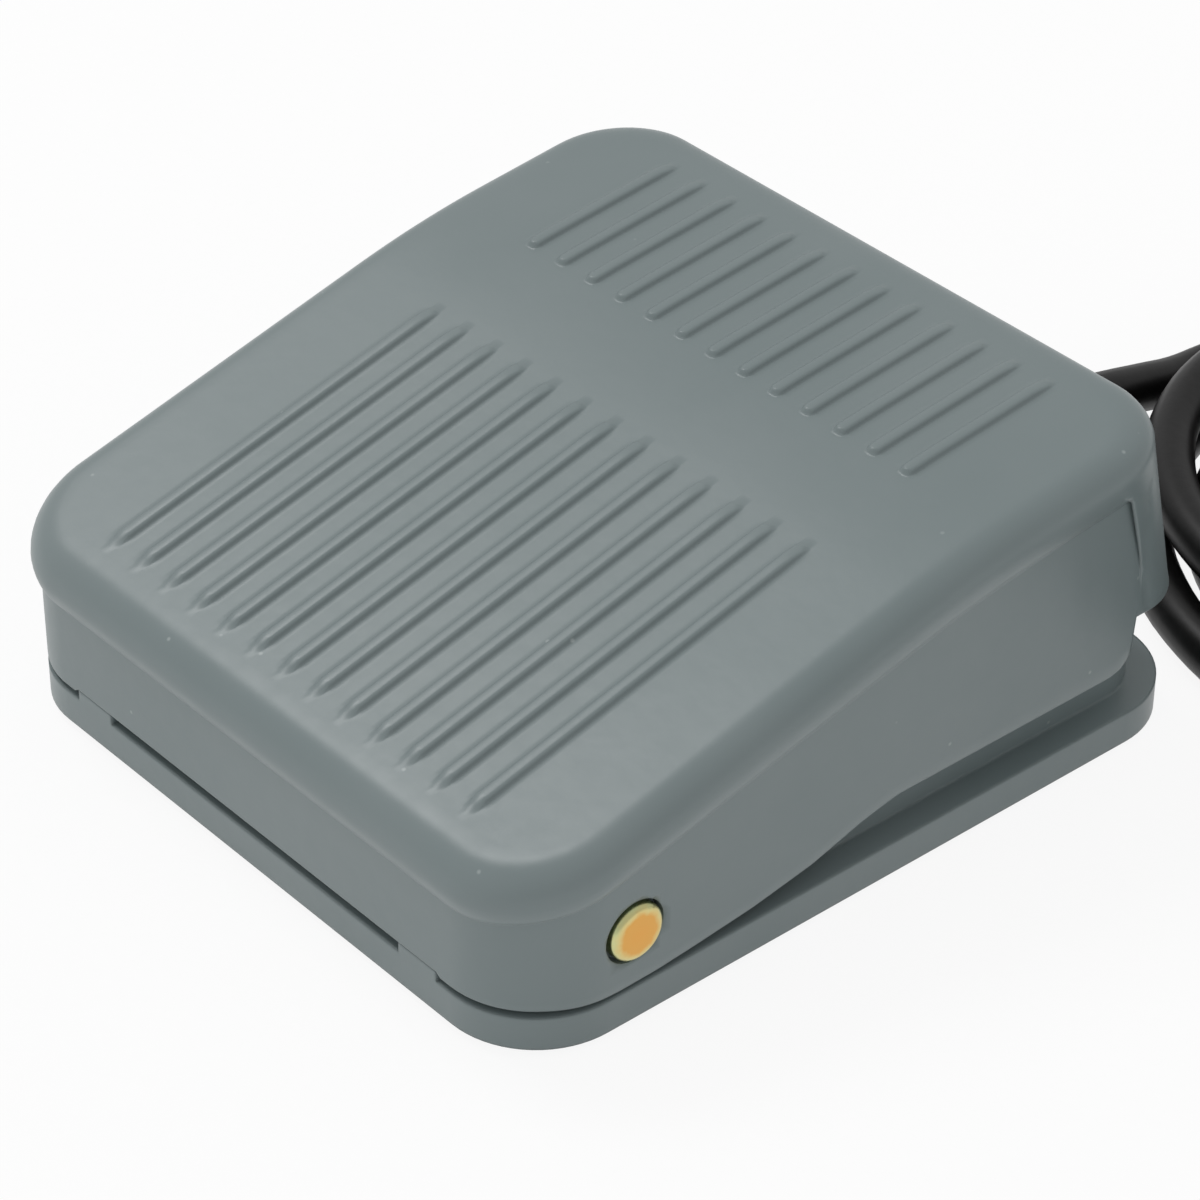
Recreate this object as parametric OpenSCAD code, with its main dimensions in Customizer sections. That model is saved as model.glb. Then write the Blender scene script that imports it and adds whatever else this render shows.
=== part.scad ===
// Industrial foot switch: a cast pedal cover hinged near the heel on a cast base
// tray, with two return springs, a snap-action switch and a three-core cord.
// Millimetres. +Z is up, -Y is the heel end with the hinge, +Y the toe end with
// the cord. The origin is on the floor under the middle of the body in plan.

/* [Base] */
// Width of the base over its outer wall
base_w = 88.6; // [86:0.2:96]
// Length of the base over its outer wall
base_l = 96.4; // [94:0.2:104]
// Corner radius of the base in plan
base_corner_r = 11; // [9:0.5:13]
// Height of the base's outer wall
base_wall_h = 4; // [3.6:0.1:4.4]
// Thickness of the base's floor
floor_t = 2.4; // [2:0.1:2.8]
// Width of the ledge outside the upstand
ledge_w = 3.5; // [3.3:0.1:3.8]
// Thickness of the upstand wall
upstand_t = 2; // [1.6:0.1:2.4]
// Height of the upstand's top above the floor of the room
upstand_top = 13; // [12.4:0.1:13.2]
// How far the rubber feet stand below the base
foot_proud = 1; // [0.8:0.1:1.5]

/* [Pedal] */
// Wall thickness of the pedal cover
pedal_t = 2; // [1.6:0.1:2.2]
// Slope of the long front part of the tread, at rest
front_slope = 14.8; // [14.4:0.1:15.2]
// Slope of the short rear part of the tread, at rest
rear_slope = 6.7; // [6:0.1:7]
// Height of the front tread's plane at the front wall
tread_front_z = 22.2; // [21.8:0.1:23]
// Distance from the front edge to the crease of the tread
crease_back = 58.9; // [57:0.1:60]
// How far the rolled top edge stands out past the foot of the wall
pedal_flare = 1.2; // [0.8:0.1:1.6]
// Radius of the rolled top edge
edge_r = 3.5; // [3:0.1:4.5]
// How far the pedal turns from rest until its edge nears the ledge, in degrees
press_angle = 4.8; // [4:0.1:4.9]

/* [Tread ribs] */
// Number of ribs in each of the two groups
rib_count = 13; // [9:2:15]
// Distance from rib to rib
rib_pitch = 5; // [4.5:0.1:5.4]
// Width of one rib
rib_w = 1.7; // [1.2:0.1:2.2]
// Height of one rib above the tread
rib_h = 0.5; // [0.3:0.1:0.8]
// Distance from the front edge to the front group
rib_front_gap = 5.8; // [5:0.1:7]
// Length of the front group in plan
rib_front_l = 43.7; // [40:0.1:45]
// Distance from the crease of the tread to the rear group
rib_rear_gap = 4.3; // [3.5:0.1:5]
// Length of the rear group in plan
rib_rear_l = 21.2; // [19:0.1:22]

/* [Hinge] */
// Diameter of the hinge pin
pin_d = 5.8; // [5:0.1:6.4]
// Distance of the pin's axis from the front edge
pin_back = 14.5; // [14:0.1:15.5]
// Height of the pin's axis above the rim of the base
pin_up = 7.3; // [7:0.1:7.8]
// Radial running clearance of the pin in its bores
run_gap = 0.05; // [0.03:0.01:0.08]

/* [Return springs] */
// Wire diameter of a return spring
wire_d = 1.2; // [0.9:0.1:1.4]
// Mean diameter of a return spring's coils
spring_d = 9; // [8.6:0.1:9.6]
// Number of turns of a return spring
spring_turns = 8; // [6:1:10]

/* [Snap switch] */
// Length of the switch case
case_l = 27.8; // [27.6:0.1:28.4]
// Height of the switch case
case_h = 15.9; // [15.7:0.1:16]
// Thickness of the switch case with its cover
case_t = 10.3; // [10:0.1:11]
// Distance from the lever's pivot to where the pedal presses it
lever_arm = 26; // [25:0.1:26.5]
// Distance from the lever's pivot to the plunger
plunger_arm = 8.5; // [8.3:0.1:8.8]
// Diameter of the plunger
plunger_d = 2.5; // [2.2:0.1:2.8]

/* [Cord] */
// Diameter of the cord over its sheath
cord_d = 6; // [5.6:0.1:6.2]
// Diameter of one insulated core
core_d = 1.8; // [1.4:0.1:1.9]

/* [Hidden] */

eps = 0.01;
fine = 96;
cast_grey = [0.50, 0.54, 0.55];
zinc = [0.83, 0.72, 0.42];
steel = [0.72, 0.73, 0.74];
spring_steel = [0.45, 0.45, 0.46];
brass = [0.80, 0.65, 0.33];
copper = [0.78, 0.45, 0.28];
phenolic = [0.13, 0.11, 0.10];
black_rubber = [0.07, 0.07, 0.07];
card_grey = [0.42, 0.45, 0.42];

// Plan of the base. The rolled top edge of the pedal overhangs the front, so the
// base sits a little behind the middle.
y_front = -(base_l - pedal_flare) / 2;
y_rear = (base_l + pedal_flare) / 2;
z_bottom = foot_proud;
z_rim = z_bottom + base_wall_h;
z_floor = z_bottom + floor_t;
up_w = base_w - 2 * ledge_w;
up_front = y_front + ledge_w;
up_rear = y_rear - ledge_w;
up_r = base_corner_r - ledge_w;

// Hinge
pin_r = pin_d / 2;
pin_y = y_front + pin_back;
pin_z = z_rim + pin_up;
bore_r = pin_r + run_gap;
ear_t = 4;
ear_r = 6;
ear_out = up_w / 2;
ear_in = ear_out - ear_t;
clip_t = 0.8;
clip_r = 4.6;
groove_r = pin_r - 0.6;

// Tread surface as seen from the side
crease_y = y_front + crease_back;
crease_z = tread_front_z + crease_back * tan(front_slope);
function tread_z(y) = y < crease_y
    ? tread_front_z + (y - y_front) * tan(front_slope)
    : crease_z + (y - crease_y) * tan(rear_slope);
tread_rear = y_rear - 6.2;
skirt_y = y_rear - 1.3;
skirt_z = z_rim + 12.5;
skirt_r = base_corner_r - 3;
side_end = y_rear - 11.2;
side_low = z_rim + 6.05;
tread_w = base_w + 2 * pedal_flare;
top_r = base_corner_r + pedal_flare;
stop_gap = 0.05;
tab_top = z_rim + 1.3;
tab_w = 6;
tab_x = base_w * 0.314;
side_top = crease_z + 40;
beyond = 20;
taper_y = pin_y + 33.7;
taper_z = z_rim + 6.8;
taper_slope = 10.7;
taper_draft = 5;

// Rubber feet
foot_r = 6;
foot_seat = 0.8;
foot_x = base_w / 2 - 11.3;
foot_fore = y_front + 11.6;
foot_aft = y_rear - 11.8;

// Return springs
spring_x = 24;
spring_y = 26;
spring_seat_z = z_floor;
boss_drop = 5.2;
spring_top_z = tread_z(spring_y) - boss_drop - pedal_t;
cup_t = 1.2;
cup_h = 3;
cup_r = spring_d / 2 + wire_d / 2 + 0.6;

// Snap switch. The lever rises to the rear by lever_rest, and the pedal pushes it
// level. Every part inside follows from the lever's pivot.
push_y = 12;
pivot_y = push_y - lever_arm;
case_y = pivot_y - 2;
case_z = z_floor + 5.6;
case_top = case_z + case_h;
case_x = -case_t / 2;
cover_t = 2;
cover_x = case_t / 2 - cover_t;
pivot_z = case_top + 0.7;
lever_t = 0.5;
lever_w = 5;
push_travel = press_angle * (push_y - pin_y);
lever_turn = push_travel / lever_arm;
lever_rest = lever_turn + 0.4;
eye_r = 1.15;
lever_pin_r = 0.6;
plunger_y = pivot_y + plunger_arm;
plunger_r = plunger_d / 2;
plunger_travel = plunger_arm * lever_turn * PI / 180;
contact_gap = 0.08;
plunger_top = pivot_z + plunger_arm * tan(lever_rest) - lever_t / 2 / cos(lever_rest) - contact_gap;
blade_z = case_z + 9;
blade_t = 0.3;
blade_w = 4;
blade_pivot_y = plunger_y + 12;
rivet_y = plunger_y - 3.1;
rivet_r = 1.2;
rivet_h = 0.8;
blade_drop = plunger_travel * (blade_pivot_y - rivet_y) / (blade_pivot_y - plunger_y);
strip_t = 0.5;
strip_w = 4.8;
tab_z = z_floor + 1.5;
closed_y = rivet_y - 2;
open_y = rivet_y + 1.7;
common_y = blade_pivot_y - 0.2;
card_end = common_y + strip_t + 3;
hole_a = [case_y + 2.8, case_z + 2.9];
hole_b = [case_y + case_l - 2.8, case_top - 2.7];
m3_r = 1.5;
m3_clear = 1.55;
thread_gap = 0.02;
head_r = 2.75;
head_h = 1.8;
nut_af = 5.5;
nut_t = 2.4;
bracket_t = 1.6;
bracket_x = case_x - bracket_t;
flange_w = 11;
bracket_hole_x = bracket_x - 5.8;
cavity_front = closed_y - 0.3;
cavity_rear = common_y + strip_t + 0.2;
cavity_z0 = case_z + 2.1;
cavity_z1 = case_top - 1.6;
cavity_x = 3.2;

// Adjusting screw in the pedal that presses the lever
m4_r = 2;
m4_nut_af = 7;
m4_nut_t = 2.2;
lever_top_z = pivot_z + lever_arm * tan(lever_rest) + lever_t / 2 / cos(lever_rest);
screw_tip_z = lever_top_z + contact_gap;
act_boss_z = screw_tip_z + m4_nut_t + 0.7;
act_hole_z = tread_z(push_y) - pedal_t - 0.3;

// Cord route inside the base, out of the toe end and across the floor
cord_r = cord_d / 2;
cord_z = z_floor + 4.5;
lay_z = cord_r + 0.1;
cord_end_y = 20;
clamp_y = 26;
clamp_l = 6;
clamp_t = 1.2;
post_x = 7.5;
post_r = 3;
post_top = cord_z + 0.3;
flange_r = 4.4;
flange_t = 2;
neck_r = cord_r + 0.9;
collar_r = 5.2;
boot_l = 24;
boot_end = up_rear + flange_t + boot_l;
ROUTE = [[0, cord_end_y, cord_z], [0, 34, cord_z], [0, 48, cord_z], [0, 60, cord_z],
    [0, 70, cord_z], [0, 78, 7], [0, 86, 5.2], [0, 93, 3.6], [0, 98.5, lay_z],
    [4.7, 115.5, lay_z], [15.7, 128.5, lay_z], [29, 137.5, lay_z]];
COIL_AT = [51.5, 98.5];
coil_r = 35.25;
coil_half_w = 12.75;
coil_h = 12.2;
tie_turn = -45;
TAIL = [[95.5, 107.9, 9.2], [98.6, 99, 8.8], [100.4, 89.5, 7], [101, 80, 4],
    [100.6, 70, lay_z], [99, 58, lay_z], [98, 46, lay_z], [98, 36, lay_z]];
tail_end = TAIL[len(TAIL) - 1];
core_start = tail_end[1] - 0.5;
core_len = 26;
bare_len = 7;
lead_r = core_d / 2;
core_pitch = core_d + 0.15;
bare_r = 0.5;
lead_start = cord_end_y - 0.8;
LEAD_COMMON = [[1.5, lead_start, 9.4], [4.6, 16, 9], [6.4, 11.5, 8.2],
    [5.6, 7.8, 7.6], [strip_w / 2, common_y + strip_t / 2, 7.2]];
LEAD_OPEN = [[1.5, lead_start, 6.6], [6.4, 15.5, 6.6], [8.6, 8, 6.3],
    [8.6, -1, 6.2], [6.2, -6, 6.8], [strip_w / 2, open_y + strip_t / 2, 7.4]];
LEAD_CLOSED = [[-1.4, lead_start, 7.9], [-1.6, 17, 6.2], [2, 13.8, 4.5], [8, 13.6, 4.5],
    [11, 10, 4.6], [11, -4, 5.2], [8.4, -9.4, 6.6],
    [strip_w / 2, closed_y + strip_t / 2, 7.4]];

// ---- Shared shapes ----

// Outline in plan of a rectangle with round corners, between y0 and y1
module plan(w, y0, y1, r) {
    translate([-w / 2, y0 + r]) square([w, y1 - y0 - 2 * r]);
    translate([-w / 2 + r, y0]) square([w - 2 * r, y1 - y0]);
    for (x = [-w / 2 + r, w / 2 - r], y = [y0 + r, y1 - r])
        translate([x, y]) circle(r = r, $fn = fine);
}

// Plate with round corners between the heights z0 and z1
module plate(w, y0, y1, r, z0, z1) {
    translate([0, 0, z0]) linear_extrude(z1 - z0) plan(w, y0, y1, r);
}

// Cylinder along +X from x0 to x1 at a height and a depth
module rod_x(x0, x1, y, z, r) {
    translate([x0, y, z]) rotate([0, 90, 0]) cylinder(h = x1 - x0, r = r, $fn = fine);
}

// Cylinder along +Y
module rod_y(y0, y1, x, z, r) {
    translate([x, y0, z]) rotate([-90, 0, 0]) cylinder(h = y1 - y0, r = r, $fn = fine);
}

// Upright cylinder
module rod_z(z0, z1, x, y, r) {
    translate([x, y, z0]) cylinder(h = z1 - z0, r = r, $fn = fine);
}

// Hexagonal nut with its bore along +Z, standing on z = 0
module hex_nut(af, h, r) {
    difference() {
        cylinder(h = h, r = af / 2 / cos(30), $fn = 6);
        translate([0, 0, -1]) cylinder(h = h + 2, r = r, $fn = fine);
    }
}

// Pan-head screw pointing down from z = 0, with a cross slot in its head
module pan_screw(r, length) {
    difference() {
        union() {
            translate([0, 0, -length]) cylinder(h = length + 0.2, r = r, $fn = fine);
            rotate_extrude($fn = fine)
                polygon([[0, 0], [head_r, 0], [head_r, head_h * 0.55], [head_r * 0.86, head_h * 0.86],
                    [head_r * 0.6, head_h], [0, head_h]]);
        }
        for (turn = [0, 90])
            rotate([0, 0, turn]) translate([-1.6, -0.3, head_h - 1]) cube([3.2, 0.6, 2]);
    }
}

// Directions along a route, averaged at its inner points
function unit(v) = v / norm(v);
function route_dir(p, i) = unit(p[min(i + 1, len(p) - 1)] - p[max(i - 1, 0)]);
function side_of(d) = unit(cross(d, abs(d[2]) > 0.9 ? [1, 0, 0] : [0, 0, 1]));
function ring_at(c, d, r, n) = [for (k = [0 : n - 1])
    c + r * (cos(360 * k / n) * side_of(d) + sin(360 * k / n) * cross(side_of(d), d))];

// Tube of radius r swept along the points p with n sides
module sweep(p, r, n) {
    rings = len(p);
    pts = [for (i = [0 : rings - 1]) each ring_at(p[i], route_dir(p, i), r, n)];
    sides = [for (i = [0 : rings - 2], k = [0 : n - 1])
        [i * n + k, i * n + (k + 1) % n, (i + 1) * n + (k + 1) % n, (i + 1) * n + k]];
    start = [for (k = [n - 1 : -1 : 0]) k];
    finish = [for (k = [0 : n - 1]) (rings - 1) * n + k];
    polyhedron(points = pts, faces = concat([start], sides, [finish]), convexity = 8);
}

// Smooth points through a route, with a number of steps per leg
function blend4(a, b, c, d, t) = 0.5 * (2 * b + (c - a) * t
    + (2 * a - 5 * b + 4 * c - d) * t * t + (3 * b - a - 3 * c + d) * t * t * t);
function smooth(p, steps) = concat([for (i = [0 : len(p) - 2], s = [0 : steps - 1])
    blend4(p[max(i - 1, 0)], p[i], p[i + 1], p[min(i + 2, len(p) - 1)], s / steps)],
    [p[len(p) - 1]]);

// ---- Castings ----

// Base: tray, ledge, upstand, hinge ears, stop tabs and seats, cast in one
module base_tray() {
    color(cast_grey) difference() {
        union() {
            difference() {
                union() {
                    plate(base_w, y_front, y_rear, base_corner_r, z_bottom, z_rim);
                    plate(up_w, up_front, up_rear, up_r, z_bottom, upstand_top);
                }
                plate(up_w - 2 * upstand_t, up_front + upstand_t, up_rear - upstand_t,
                    up_r - upstand_t, z_floor, upstand_top + 1);
            }
            for (side = [-1, 1]) {
                translate([side * tab_x - tab_w / 2, y_front, z_rim - 1])
                    cube([tab_w, pedal_t, tab_top - stop_gap - z_rim + 1]);
                hinge_ear(side);
                rod_z(z_floor - 1, z_floor + cup_h, side * spring_x, spring_y, cup_r + cup_t);
                rod_z(z_floor - 1, post_top, side * post_x, clamp_y, post_r);
            }
            translate([-cord_r, clamp_y - clamp_l / 2, z_floor - 1])
                cube([cord_d, clamp_l, cord_z - z_floor]);
            outlet_wall();
        }
        for (side = [-1, 1]) {
            rod_x(side > 0 ? ear_in - 1 : -ear_out - 1, side > 0 ? ear_out + 1 : -ear_in + 1,
                pin_y, pin_z, bore_r);
            rod_z(z_floor, z_floor + cup_h + 1, side * spring_x, spring_y, cup_r);
            rod_z(z_floor + 1, post_top + 1, side * post_x, clamp_y, m3_r + thread_gap);
            for (y = [foot_fore, foot_aft])
                rod_z(z_bottom - 1, z_bottom + foot_seat, side * foot_x, y, foot_r);
        }
        rod_y(clamp_y - clamp_l, y_rear - ledge_w - upstand_t - 3, 0, cord_z, cord_r);
        rod_y(up_rear - upstand_t - 3, up_rear + 1, 0, cord_z, neck_r);
        rod_y(up_rear, y_rear + 1, 0, cord_z, collar_r + 0.3);
        translate([-collar_r - 0.3, up_rear, cord_z])
            cube([2 * collar_r + 0.6, ledge_w + 1, upstand_top]);
        for (y = [case_y + 8, case_y + 20])
            rod_z(z_bottom + 0.4, z_floor + 1, bracket_hole_x, y, m3_r + thread_gap);
    }
}

// Ear that carries one end of the hinge pin
module hinge_ear(side) {
    x0 = side > 0 ? ear_in : -ear_out;
    translate([x0, pin_y - ear_r, z_floor - 1]) cube([ear_t, 2 * ear_r, pin_z - z_floor + 1]);
    rod_x(x0, x0 + ear_t, pin_y, pin_z, ear_r);
}

// Thicker stretch of the toe wall around the cord's outlet
module outlet_wall() {
    translate([-collar_r - 2, up_rear - upstand_t, z_floor - 1])
        cube([2 * collar_r + 4, upstand_t, upstand_top - z_floor + 1]);
}

// Solid form of the pedal cover, shrunk inwards by an even amount
module pedal_form(inset) {
    r = edge_r - min(inset, edge_r - 0.6);
    half = tread_w / 2 - inset - r;
    corner = top_r - inset - r;
    foot = base_corner_r - inset;
    hull() {
        translate([0, 0, z_rim]) linear_extrude(0.1)
            plan(base_w - 2 * inset, y_front + inset, side_end - inset, foot, $fn = 32);
        translate([0, 0, skirt_z]) linear_extrude(0.1)
            plan(base_w - 2 * inset, y_front + inset, skirt_y - inset, skirt_r - inset);
        for (side = [-1, 1]) {
            translate([side * (half - corner), y_front - pedal_flare + inset + r + corner, 0])
                translate([0, 0, tread_z(y_front - pedal_flare + inset + r + corner) - inset - r])
                    rotate([front_slope, 0, 0]) soft_disc(corner, r);
            translate([side * half, crease_y, crease_z - inset - r]) sphere(r = r, $fn = 24);
            translate([side * (half - corner), tread_rear - inset - r - corner, 0])
                translate([0, 0, tread_z(tread_rear - inset - r - corner) - inset - r])
                    rotate([rear_slope, 0, 0]) soft_disc(corner, r);
        }
    }
}

// Disc with a round edge: radius flat + r
module soft_disc(flat, r) {
    rotate_extrude($fn = 32) translate([flat, 0]) circle(r = r, $fn = 24);
}

// Side view of the pedal cover: all that lies above its lower edge
module pedal_side() {
    polygon(concat([[y_front - beyond, side_top], [y_front - beyond, tab_top],
            [y_front + 5, tab_top],
            [pin_y - 2, z_rim + 0.35], [pin_y + 3, z_rim + 0.45], [pin_y + 8, z_rim + 0.85],
            [pin_y + 16, z_rim + 1.65], [pin_y + 24, z_rim + 3]],
        [for (a = [15 : 15 : 90]) [pin_y + 24 + 12 * sin(a), z_rim + 3 + (side_low - z_rim - 3)
            * (1 - cos(a)) * 0.5 + (side_low - z_rim - 3) * 0.5 * sin(a)]],
        [for (a = [0 : 15 : 90]) [side_end - 3.3 + 3.3 * sin(a), side_low + 3.3 - 3.3 * cos(a)]],
        [[side_end, skirt_z], [y_rear + beyond, skirt_z], [y_rear + beyond, side_top]]));
}

// Pedal cover: shell with ribbed tread, flared toe skirt and inner bosses
module pedal_cover() {
    color(cast_grey) {
        difference() {
            union() {
                intersection() {
                    difference() {
                        pedal_form(0);
                        pedal_form(pedal_t);
                        translate([0, 0, z_rim - 2]) linear_extrude(2.2 + eps)
                            plan(base_w - 2 * pedal_t, y_front + pedal_t, side_end + 5,
                                base_corner_r - pedal_t);
                    }
                    rotate([90, 0, 90]) translate([0, 0, -base_w])
                        linear_extrude(2 * base_w) pedal_side();
                }
                intersection() {
                    pedal_bosses();
                    pedal_form(pedal_t / 2);
                }
            }
            for (side = [-1, 1]) {
                rod_x(side > 0 ? ear_out : -base_w, side > 0 ? base_w : -ear_out,
                    pin_y, pin_z, bore_r);
                rod_x(side > 0 ? base_w / 2 - 0.8 : -base_w, side > 0 ? base_w : -base_w / 2 + 0.8,
                    pin_y, pin_z, pin_r + 0.3);
                toe_taper(side);
            }
            rod_z(act_boss_z - 1, act_hole_z, 0, push_y, m4_r + thread_gap);
            translate([-collar_r - 2, side_end, skirt_z - 1]) cube([2 * collar_r + 4, 20, 4.2]);
        }
        rib_group(y_front + rib_front_gap, rib_front_l, front_slope);
        rib_group(crease_y + rib_rear_gap, rib_rear_l, rear_slope);
    }
}

// Bosses under the tread: hinge, spring seats and adjusting screw
module pedal_bosses() {
    for (side = [-1, 1]) {
        rod_x(side > 0 ? ear_out + 0.3 : -base_w / 2, side > 0 ? base_w / 2 : -ear_out - 0.3,
            pin_y, pin_z, pin_r + 2.2);
        rod_z(spring_top_z, tread_z(spring_y), side * spring_x, spring_y, cup_r);
        rod_z(spring_top_z - 3.5, tread_z(spring_y), side * spring_x, spring_y,
            spring_d / 2 - wire_d / 2 - 0.7);
    }
    rod_z(act_boss_z, tread_z(push_y), 0, push_y, 4.8);
}

// Shallow inward taper of the side wall below a line that rises to the toe
module toe_taper(side) {
    mirror([side > 0 ? 0 : 1, 0, 0])
        translate([base_w / 2 + 0.3, taper_y, taper_z]) rotate([taper_slope, 0, 0])
            rotate([0, taper_draft, 0]) translate([0, -6, -upstand_top])
                cube([5, base_l, upstand_top]);
}

// One group of tread ribs from a depth on, along the tread's slope
module rib_group(y0, plan_l, slope) {
    run = plan_l / cos(slope);
    for (i = [0 : rib_count - 1])
        translate([(i - (rib_count - 1) / 2) * rib_pitch, y0, tread_z(y0)])
            rotate([slope, 0, 0]) translate([0, 0, -0.4]) linear_extrude(rib_h + 0.4) {
                translate([-rib_w / 2, rib_w / 2]) square([rib_w, run - rib_w]);
                for (end = [rib_w / 2, run - rib_w / 2])
                    translate([0, end]) circle(d = rib_w, $fn = 32);
            }
}

// ---- Hinge, feet and springs ----

// Hinge pin with rounded ends and a groove for each clip
module hinge_pin() {
    half = base_w / 2 + 0.75;
    nose = 0.6;
    color(zinc) rotate([0, 90, 0]) difference() {
        rotate_extrude($fn = fine)
            polygon(concat([[0, -half]],
                [for (a = [0 : 15 : 90]) [pin_r - nose + nose * sin(a), -half + nose - nose * cos(a)]],
                [for (a = [90 : 15 : 180]) [pin_r - nose + nose * sin(a), half - nose - nose * cos(a)]],
                [[0, half]]));
        for (side = [-1, 1])
            translate([0, 0, side * (ear_in - clip_t / 2) - clip_t / 2]) difference() {
                cylinder(h = clip_t, r = pin_r + 1, $fn = fine);
                translate([0, 0, -1]) cylinder(h = clip_t + 2, r = groove_r, $fn = fine);
            }
    }
}

// The hinge pin where it lies in the base
module placed_pin() {
    translate([0, pin_y, pin_z]) hinge_pin();
}

// Two open retaining clips in the grooves of the pin, against the ears
module pin_clips() {
    color(spring_steel) for (side = [-1, 1])
        translate([side * (ear_in - clip_t / 2) - clip_t / 2, pin_y, pin_z]) rotate([0, 90, 0])
            difference() {
                cylinder(h = clip_t, r = clip_r, $fn = fine);
                translate([0, 0, -1]) cylinder(h = clip_t + 2, r = groove_r, $fn = fine);
                translate([0, -1.7, -1]) cube([clip_r + 1, 3.4, clip_t + 2]);
                for (turn = [120, 240])
                    rotate([0, 0, turn]) translate([groove_r + 0.9, -0.9, -1])
                        cube([clip_r, 1.8, clip_t + 2]);
            }
}

// Four rubber feet seated in the underside of the base
module rubber_feet() {
    color(black_rubber) for (x = [-foot_x, foot_x], y = [foot_fore, foot_aft])
        translate([x, y, 0]) rotate_extrude($fn = fine)
            polygon([[0, 0], [foot_r - 0.5, 0], [foot_r, 0.4], [foot_r, z_bottom + foot_seat],
                [0, z_bottom + foot_seat]]);
}

// Helical spring between its cup and the boss under the tread
module return_spring(side) {
    low = spring_seat_z + wire_d / 2;
    rise = spring_top_z - spring_seat_z - wire_d;
    steps = 20;
    total = steps * spring_turns;
    pts = [for (i = [0 : total]) let (u = i / steps,
            climb = min(max((u - 0.9) / (spring_turns - 1.8), 0), 1))
        [spring_d / 2 * cos(360 * u), spring_d / 2 * sin(360 * u),
            low + wire_d * 0.5 * min(u, 0.9) + wire_d * 0.5 * max(u - spring_turns + 0.9, 0)
            + (rise - 0.9 * wire_d) * climb]];
    color(spring_steel) translate([side * spring_x, spring_y, 0]) sweep(pts, wire_d / 2, 8);
}

// ---- Snap switch ----

// Bent bracket that holds the switch upright
module switch_bracket() {
    color(steel) difference() {
        union() {
            translate([bracket_x, case_y - 1, z_floor])
                cube([bracket_t, case_l + 2, case_top - z_floor]);
            translate([bracket_x - flange_w, case_y + 2, z_floor])
                cube([flange_w + eps, case_l - 4, bracket_t]);
        }
        for (h = [hole_a, hole_b])
            rod_x(bracket_x - 1, bracket_x + bracket_t + 1, h[0], h[1], m3_clear);
        for (y = [case_y + 8, case_y + 20])
            rod_z(z_floor - 1, z_floor + bracket_t + 1, bracket_hole_x, y, m3_clear);
    }
}

// Two screws that fasten the bracket to the base's floor
module bracket_screws() {
    color(steel) for (y = [case_y + 8, case_y + 20])
        translate([bracket_hole_x, y, z_floor + bracket_t])
            pan_screw(m3_r, bracket_t + floor_t - 0.5);
}

// Moulded case with the contact chamber, open on the cover's side
module switch_case() {
    color(phenolic) difference() {
        union() {
            translate([case_x, case_y, case_z]) cube([cover_x - case_x, case_l, case_h]);
            for (x = [-lever_w / 2 - 0.3 - 1.2, lever_w / 2 + 0.3])
                translate([x, pivot_y - 1.2, case_top - 1]) cube([1.2, 2.4, 2.6]);
        }
        translate([-cavity_x, cavity_front, cavity_z0])
            cube([2 * cavity_x + 1, cavity_rear - cavity_front, cavity_z1 - cavity_z0]);
        rod_z(cavity_z1 - 1, case_top + 1, 0, plunger_y, plunger_r + run_gap);
        rod_x(-case_t, case_t, pivot_y, pivot_z, lever_pin_r);
        rod_x(-lever_w / 2 - 0.3, lever_w / 2 + 0.3, pivot_y, pivot_z, eye_r + 0.35);
        for (h = [hole_a, hole_b]) rod_x(-case_t, case_t, h[0], h[1], m3_clear);
        for (y = [closed_y, open_y, common_y])
            translate([-strip_w / 2, y, case_z - 1]) cube([strip_w, strip_t, 4]);
    }
}

// Cover plate that closes the contact chamber
module switch_cover() {
    color(phenolic) difference() {
        translate([cover_x, case_y, case_z]) cube([cover_t, case_l, case_h]);
        for (h = [hole_a, hole_b]) rod_x(cover_x - 1, case_t, h[0], h[1], m3_clear);
        rod_x(cover_x - 1, case_t, pivot_y, pivot_z, 2.2);
    }
}

// Two long screws through the cover, the case and the bracket
module switch_screws() {
    color(steel) for (h = [hole_a, hole_b])
        translate([case_t / 2, h[0], h[1]]) rotate([0, 90, 0])
            pan_screw(m3_r, case_t + bracket_t + nut_t + 0.6);
}

// Their nuts, against the bracket
module switch_nuts() {
    color(steel) for (h = [hole_a, hole_b])
        translate([bracket_x - nut_t, h[0], h[1]]) rotate([0, 90, 0])
            hex_nut(nut_af, nut_t, m3_r + thread_gap);
}

// Plunger: round button, a collar that keeps it in, and a foot on the blade
module switch_plunger() {
    collar_z = cavity_z1 - 0.4;
    color([0.75, 0.20, 0.16]) translate([0, plunger_y, 0]) rotate_extrude($fn = fine)
        polygon([[0, blade_z + blade_t + contact_gap], [1, blade_z + blade_t + contact_gap],
            [1, collar_z - 0.9], [plunger_r + 0.7, collar_z - 0.9], [plunger_r + 0.7, collar_z],
            [plunger_r, collar_z], [plunger_r, plunger_top - 0.4], [plunger_r - 0.4, plunger_top],
            [0, plunger_top]]);
}

// Spring lever over the plunger, with a rolled eye around its pin
module switch_lever() {
    length = lever_arm + 3;
    color(steel) translate([0, pivot_y, pivot_z]) rotate([lever_rest, 0, 0]) difference() {
        union() {
            rod_x(-lever_w / 2, lever_w / 2, 0, 0, eye_r);
            translate([-lever_w / 2, 0, -lever_t / 2]) cube([lever_w, length - lever_w / 2, lever_t]);
            translate([0, length - lever_w / 2, -lever_t / 2]) cylinder(h = lever_t, d = lever_w, $fn = fine);
        }
        rod_x(-lever_w, lever_w, 0, 0, lever_pin_r + run_gap);
    }
}

// Pin through the case's two lugs that the lever turns on
module lever_pin() {
    color(steel) rod_x(-lever_w / 2 - 1.9, lever_w / 2 + 1.9 - 0.4, pivot_y, pivot_z, lever_pin_r);
}

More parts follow.
